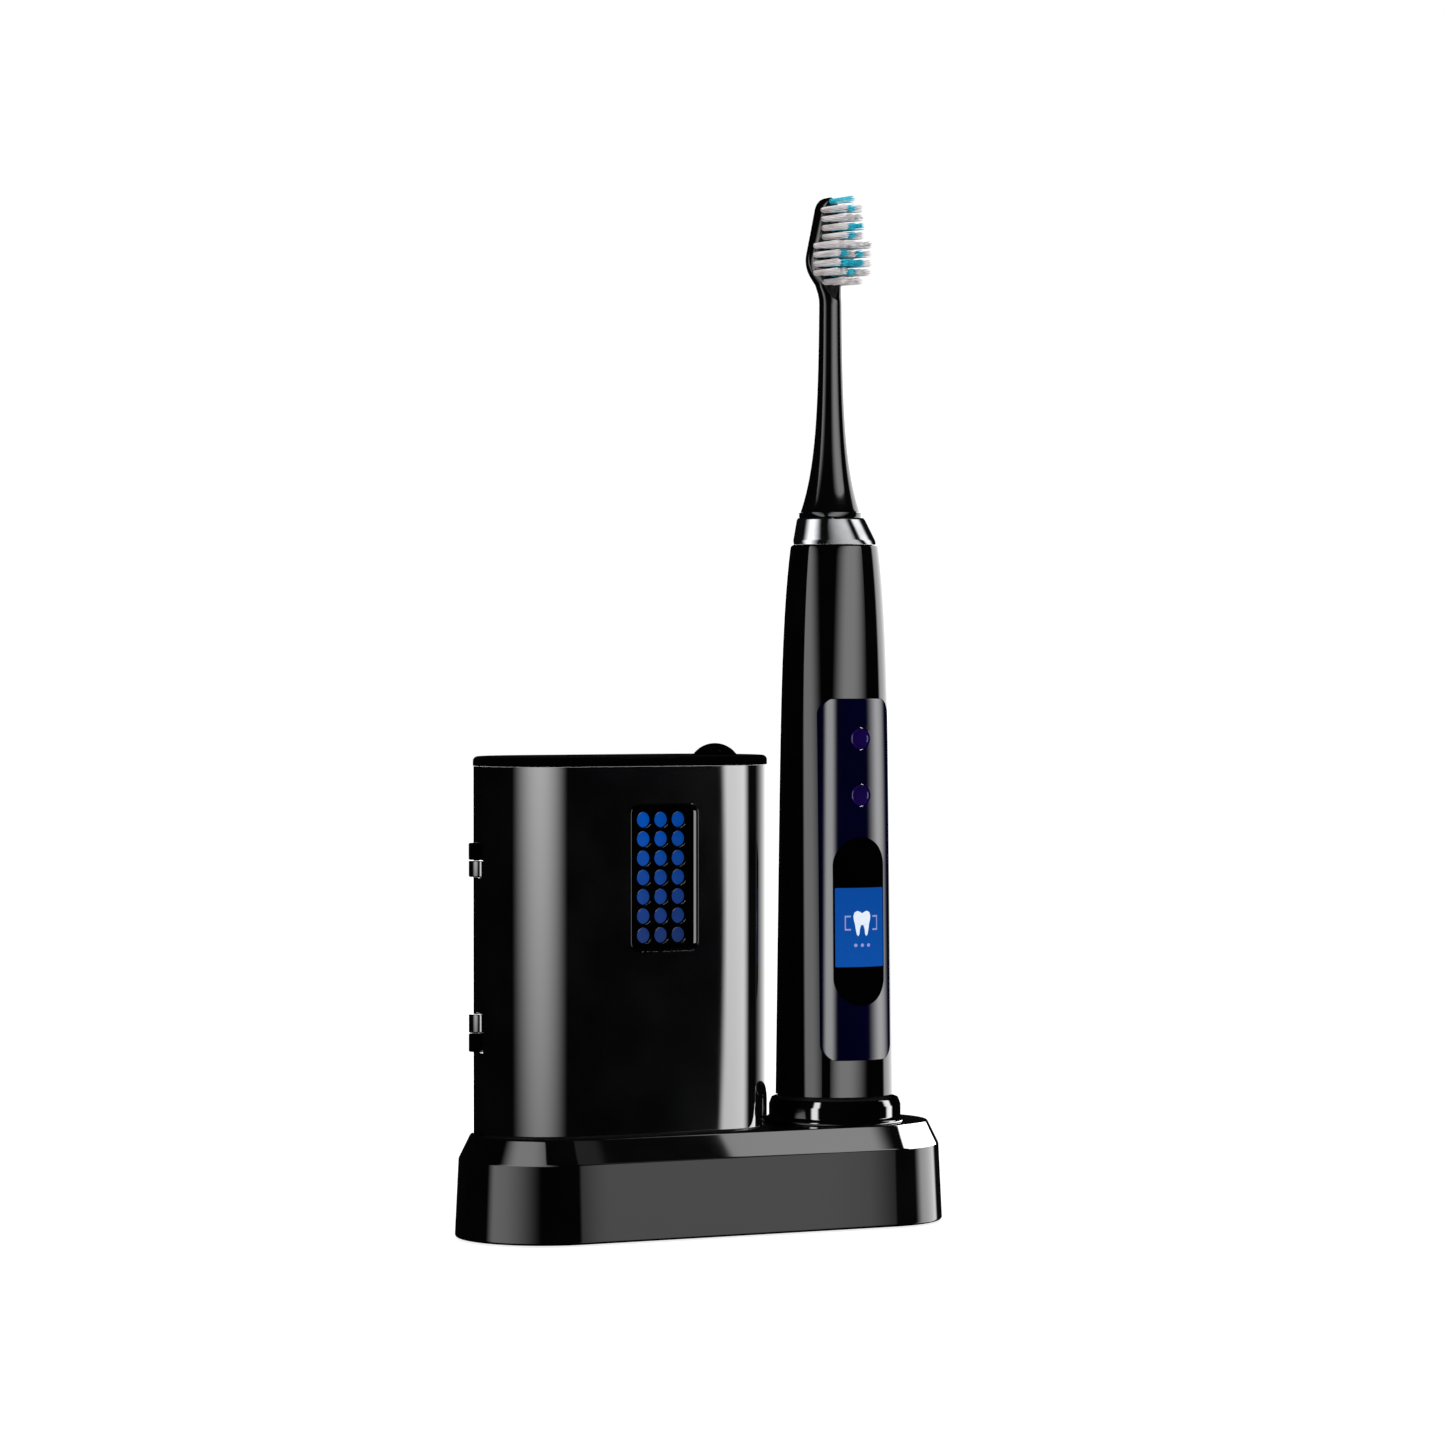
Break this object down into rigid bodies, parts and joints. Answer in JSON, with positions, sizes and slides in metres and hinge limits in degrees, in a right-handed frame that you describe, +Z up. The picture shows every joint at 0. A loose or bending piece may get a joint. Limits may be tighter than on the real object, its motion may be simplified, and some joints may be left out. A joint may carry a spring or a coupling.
{
  "type": "electric toothbrush on charger",
  "caption": "Sonic toothbrush standing in a long charging base, beside a steriliser cabinet with a hinged door, window grille and push button.",
  "frame": {"origin": "centre of the base's outline, on the surface that the feet stand on", "axes": "+Z up, +X from the cabinet towards the toothbrush, -Y towards the front that the buttons, display and door face"},
  "size_m": [0.1406, 0.048, 0.2785],
  "materials": {
    "gloss_black": "high gloss moulded black",
    "matt_black": "fine matt moulded black",
    "rubber": "soft matt rubber",
    "red_rubber": "silicone seal",
    "steel": "plain bright steel",
    "chrome": "polished plating",
    "reflector": "polished sheet",
    "bronze": "sintered bush",
    "copper_wire": "enamelled winding",
    "ferrite": "sintered, matt",
    "circuit_board": "solder mask",
    "light_plastic": "natural moulded plastic",
    "battery_wrap": "shrink wrap",
    "lamp_glass": "clear lamp glass",
    "blue_lens": "tinted pane lit from behind",
    "navy_panel": "gloss inlay, very dark blue",
    "navy_key": "gloss dark blue",
    "display_glass": "black display cover",
    "lit_screen": "lit display",
    "white_nylon": "translucent white filament",
    "blue_nylon": "blue filament"
  },
  "bodies": {
    "base": {"base_shell": "gloss_black", "bottom_plate": "matt_black", "rubber_feet": "rubber", "base_screws": "steel", "cord_gland": "rubber", "charger_board": "circuit_board", "charging_seat": "gloss_black", "charging_post": "matt_black", "coil_core": "ferrite", "primary_coil": "copper_wire", "cabinet_back": "gloss_black", "cabinet_floor": "matt_black", "head_pegs": "light_plastic", "service_tray": "matt_black", "cabinet_cap": "gloss_black", "cabinet_screws": "steel", "uv_lamp": "lamp_glass", "lamp_clips": "steel", "lamp_reflector": "reflector", "lamp_board": "circuit_board", "button_switch": "matt_black", "button_spring": "steel", "hinge_pins": "steel", "door_magnet": "ferrite"},
    "lamp_button": {"uv_button": "gloss_black"},
    "door": {"door_shell": "gloss_black", "window_grille": "gloss_black", "window_lens": "blue_lens", "strike_plate": "steel"},
    "handle": {"handle_shell": "gloss_black", "control_panel": "navy_panel", "display_lens": "display_glass", "display_screen": "lit_screen", "chrome_ring": "chrome", "shaft_seal": "rubber", "end_cap": "matt_black", "end_cap_seal": "red_rubber", "secondary_coil": "copper_wire", "inner_frame": "light_plastic", "battery": "battery_wrap", "handle_board": "circuit_board", "motor_case": "steel", "motor_coils": "copper_wire", "shaft_bearings": "bronze"},
    "power_key": {"power_button": "navy_key"},
    "mode_key": {"mode_button": "navy_key"},
    "shaft": {"drive_shaft": "steel", "rotor_magnets": "ferrite"},
    "brush_head": {"brush_neck": "gloss_black", "shaft_socket": "light_plastic", "white_bristles": "white_nylon", "blue_bristles": "blue_nylon"}
  },
  "joints": [
    {"name": "door_swing", "type": "hinge", "parent": "base", "child": "door", "pos_m": [-0.0661, 0, 0.0765], "axis": [0, 0, -1], "range_deg": [0, 110]},
    {"name": "lamp_button_press", "type": "slide", "parent": "base", "child": "lamp_button", "axis": [0, 0, -1], "range_m": [0, 0.0012], "stiffness_N_per_m": 400, "springref_m": -0.0008, "deforming": ["button_spring"]},
    {"name": "handle_lift", "type": "slide", "parent": "base", "child": "handle", "axis": [0, 0, 1], "range_m": [0, 0.11]},
    {"name": "power_press", "type": "slide", "parent": "handle", "child": "power_key", "axis": [0, 1, 0], "range_m": [0, 0.0005], "stiffness_N_per_m": 600, "springref_m": -0.0005},
    {"name": "mode_press", "type": "slide", "parent": "handle", "child": "mode_key", "axis": [0, 1, 0], "range_m": [0, 0.0005], "stiffness_N_per_m": 600, "springref_m": -0.0005},
    {"name": "shaft_sweep", "type": "hinge", "parent": "handle", "child": "shaft", "pos_m": [0.0402, 0.0025, 0.19], "axis": [0, 0, 1], "range_deg": [-5, 5], "stiffness_Nm_per_rad": 0.05},
    {"name": "brush_head_pull", "type": "slide", "parent": "shaft", "child": "brush_head", "axis": [0, 0, 1], "range_m": [0, 0.02]}
  ]
}
